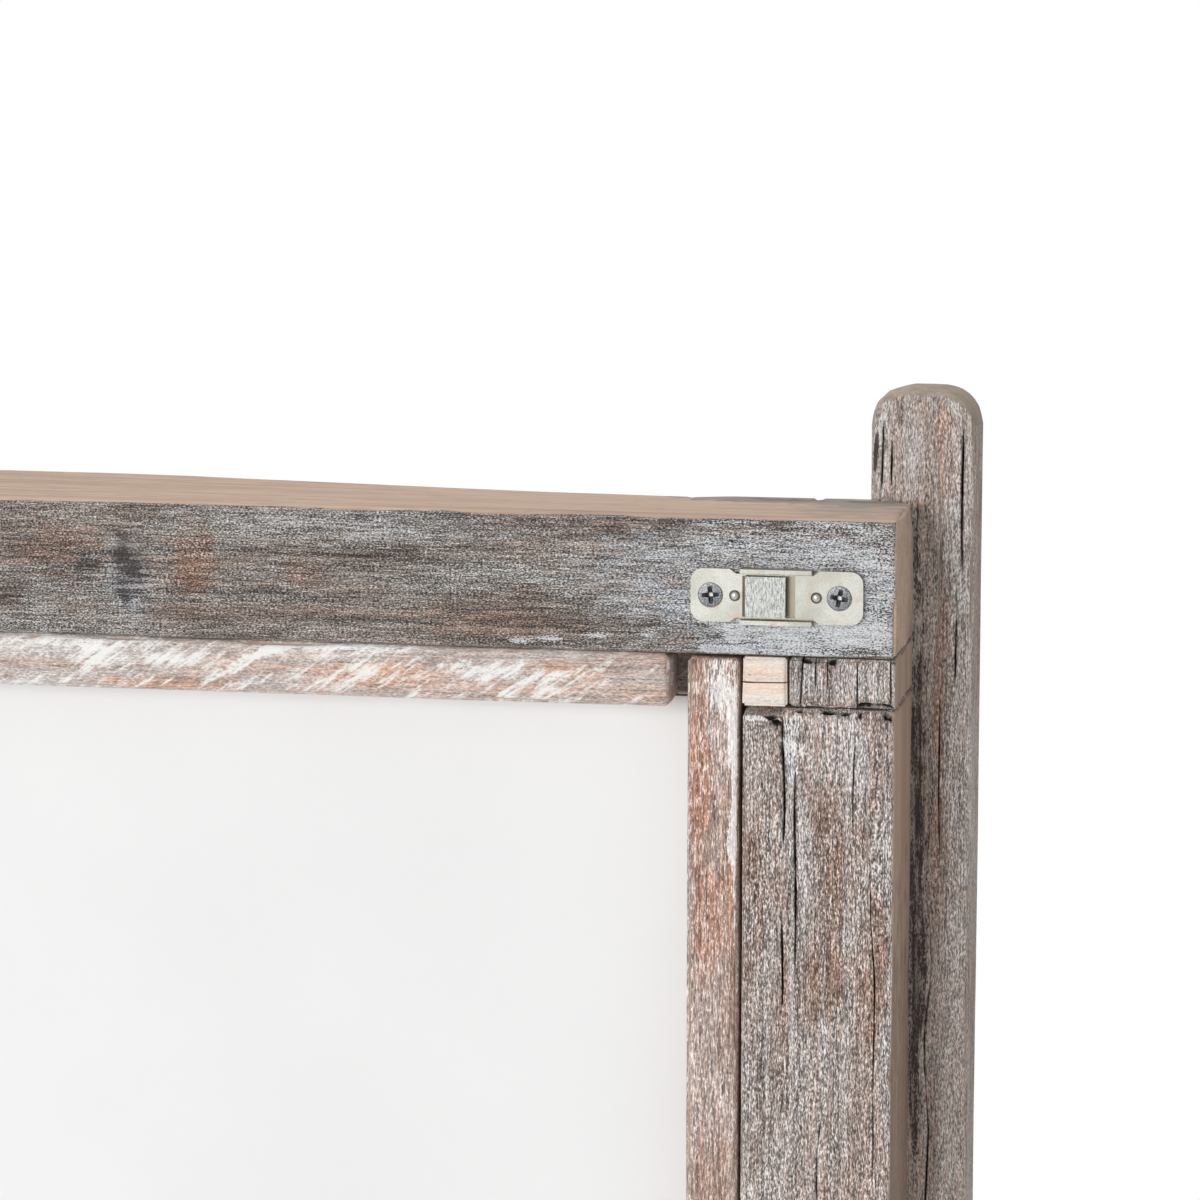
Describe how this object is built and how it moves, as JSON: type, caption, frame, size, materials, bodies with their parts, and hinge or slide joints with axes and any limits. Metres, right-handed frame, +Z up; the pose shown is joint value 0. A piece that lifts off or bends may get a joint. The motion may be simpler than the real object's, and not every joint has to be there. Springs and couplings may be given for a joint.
{
  "type": "folding room divider screen",
  "caption": "Free-standing folding screen of hinged timber leaves, each a framed white panel between round-topped posts.",
  "frame": {"origin": "on the floor, under the middle of the box round the screen as it stands in its zigzag", "axes": "+Z up, +X along the outer leaves towards the leaf whose free top corner carries a catch plate, -Y out of the catch side of the two outer leaves"},
  "size_m": [1.3172, 0.5374, 1.7499],
  "materials": {
    "post_timber": "weathered, whitewashed",
    "frame_timber": "weathered, whitewashed",
    "bead_timber": "weathered, brushed with white paint",
    "fresh_timber": "bare, fresh cut",
    "white_board": "matt white paint",
    "nickel_plate": "nickel plated",
    "zinc_screw": "zinc plated",
    "hinge_steel": "satin",
    "glide_plastic": "matt"
  },
  "bodies": {
    "leaf_a": {"catch_plate_a": "nickel_plate", "catch_screws_a": "zinc_screw", "hinge_screws_a": "zinc_screw", "leaf_a_bottom_rail": "frame_timber", "leaf_a_corner_dowels": "fresh_timber", "leaf_a_foot_glides": "glide_plastic", "leaf_a_frame_screws": "zinc_screw", "leaf_a_front_beads": "bead_timber", "leaf_a_panel": "white_board", "leaf_a_post_left": "post_timber", "leaf_a_post_right": "post_timber", "leaf_a_rear_bead_bottom": "bead_timber", "leaf_a_rear_bead_left": "bead_timber", "leaf_a_rear_bead_right": "bead_timber", "leaf_a_rear_bead_top": "bead_timber", "leaf_a_stile_left": "frame_timber", "leaf_a_stile_right": "frame_timber", "leaf_a_top_rail": "frame_timber", "projection_hinge_leaves_a": "hinge_steel"},
    "leaf_b": {"butt_hinge_leaves_b": "hinge_steel", "hinge_screws_b": "zinc_screw", "leaf_b_bottom_rail": "frame_timber", "leaf_b_corner_dowels": "fresh_timber", "leaf_b_foot_glides": "glide_plastic", "leaf_b_frame_screws": "zinc_screw", "leaf_b_front_beads": "bead_timber", "leaf_b_panel": "white_board", "leaf_b_post_left": "post_timber", "leaf_b_post_right": "post_timber", "leaf_b_rear_bead_bottom": "bead_timber", "leaf_b_rear_bead_left": "bead_timber", "leaf_b_rear_bead_right": "bead_timber", "leaf_b_rear_bead_top": "bead_timber", "leaf_b_stile_left": "frame_timber", "leaf_b_stile_right": "frame_timber", "leaf_b_top_rail": "frame_timber", "projection_hinge_leaves_b": "hinge_steel", "projection_hinge_pins": "hinge_steel"},
    "leaf_c": {"butt_hinge_leaves_c": "hinge_steel", "butt_hinge_pins": "hinge_steel", "catch_plate_c": "nickel_plate", "catch_screws_c": "zinc_screw", "fresh_packing_block": "fresh_timber", "grey_packing_block": "frame_timber", "hinge_screws_c": "zinc_screw", "leaf_c_bottom_rail": "frame_timber", "leaf_c_corner_dowels": "fresh_timber", "leaf_c_foot_glides": "glide_plastic", "leaf_c_frame_screws": "zinc_screw", "leaf_c_front_beads": "bead_timber", "leaf_c_panel": "white_board", "leaf_c_post_left": "post_timber", "leaf_c_post_right": "post_timber", "leaf_c_rear_bead_bottom": "bead_timber", "leaf_c_rear_bead_left": "bead_timber", "leaf_c_rear_bead_right": "bead_timber", "leaf_c_rear_bead_top": "bead_timber", "leaf_c_stile_left": "frame_timber", "leaf_c_stile_right": "frame_timber", "leaf_c_top_rail": "frame_timber"}
  },
  "joints": [
    {"name": "fold_b", "type": "hinge", "parent": "leaf_c", "child": "leaf_b", "pos_m": [0.15706, -0.19878, 0], "axis": [0, 0, 1], "range_deg": [-120, 60]},
    {"name": "fold_a", "type": "hinge", "parent": "leaf_b", "child": "leaf_a", "pos_m": [-0.15706, 0.20068, 0], "axis": [0, 0, 1], "range_deg": [-60, 120]}
  ]
}
